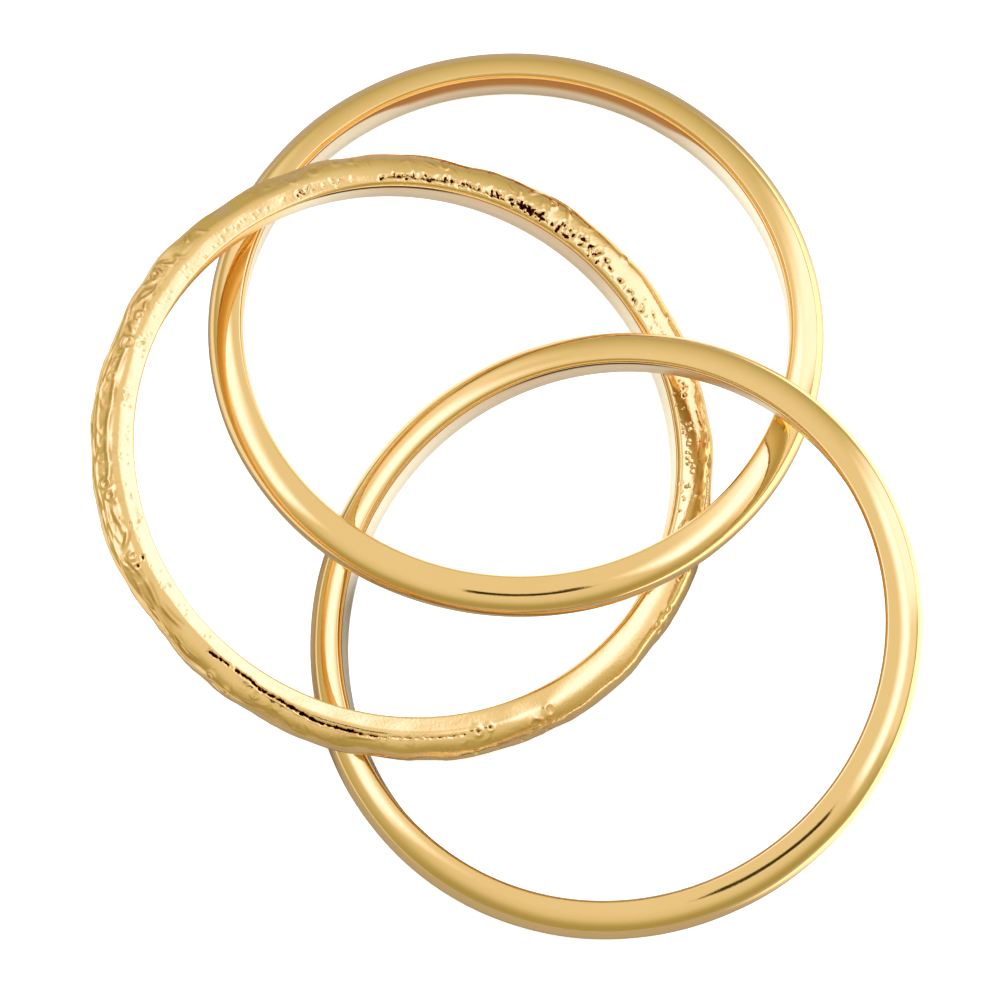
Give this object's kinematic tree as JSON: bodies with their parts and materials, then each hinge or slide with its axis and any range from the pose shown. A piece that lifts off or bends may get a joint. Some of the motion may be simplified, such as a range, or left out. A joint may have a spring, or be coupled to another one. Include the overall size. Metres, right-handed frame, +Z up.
{
  "type": "interlocked band ring",
  "caption": "Finger ring of slim gold bands linked through each other, plain polished ones with a cast band of organic relief, lying loosely crossed as set down.",
  "frame": {"origin": "middle of the set's footprint, on the surface that it lies on", "axes": "+Z up from that surface, +Y from the lower plain band towards the top plain band, +X to the right of both"},
  "size_m": [0.0274, 0.031, 0.0052],
  "materials": {
    "polished_gold": "mirror polished yellow gold",
    "cast_gold": "polished yellow gold over a cast, pitted and rippled relief"
  },
  "bodies": {
    "textured": {"textured_band": "cast_gold"},
    "top": {"top_band": "polished_gold"},
    "lower": {"lower_band": "polished_gold"}
  },
  "joints": [
    {"name": "top_band_roll", "type": "hinge", "parent": "textured", "child": "top", "pos_m": [0.00025, 0.00532, 0.00193], "axis": [0.0533, 0.1119, 0.9923], "continuous": true},
    {"name": "lower_band_roll", "type": "hinge", "parent": "textured", "child": "lower", "pos_m": [0.00359, -0.00529, 0.00224], "axis": [-0.1421, -0.0675, 0.9875], "continuous": true}
  ]
}
